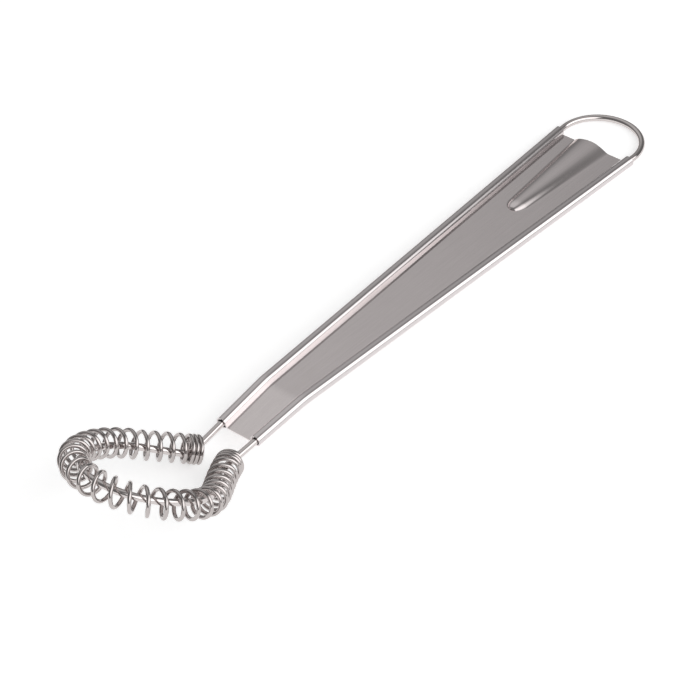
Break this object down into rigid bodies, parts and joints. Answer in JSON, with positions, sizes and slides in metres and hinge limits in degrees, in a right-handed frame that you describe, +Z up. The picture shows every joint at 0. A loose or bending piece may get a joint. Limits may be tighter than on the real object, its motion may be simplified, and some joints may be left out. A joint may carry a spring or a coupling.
{
  "type": "sauce whisk",
  "caption": "Stainless sauce whisk: tapered sheet handle rolled round a bent wire frame, with a hanging loop and a loose coil spring threaded on the tilted head loop.",
  "frame": {"origin": "under the middle of the bounding box, on the plane the whisk lies on", "axes": "+X from the whisking head to the hanging loop, +Y to the left roll, +Z up from the table"},
  "size_m": [0.2668, 0.0514, 0.0352],
  "materials": {
    "sheet_steel": "bright rolled stainless sheet with a fine lengthwise grain",
    "frame_steel": "polished stainless wire",
    "coil_steel": "bright drawn stainless spring wire"
  },
  "bodies": {
    "handle": {"handle_sheet": "sheet_steel", "wire_frame": "frame_steel"},
    "coil": {"coil_spring": "coil_steel"}
  },
  "joints": [
    {"name": "coil_rock", "type": "hinge", "parent": "handle", "child": "coil", "pos_m": [-0.08385, 0, 0.0049], "axis": [0, 1, 0], "range_deg": [-1.2, 1.2]}
  ]
}
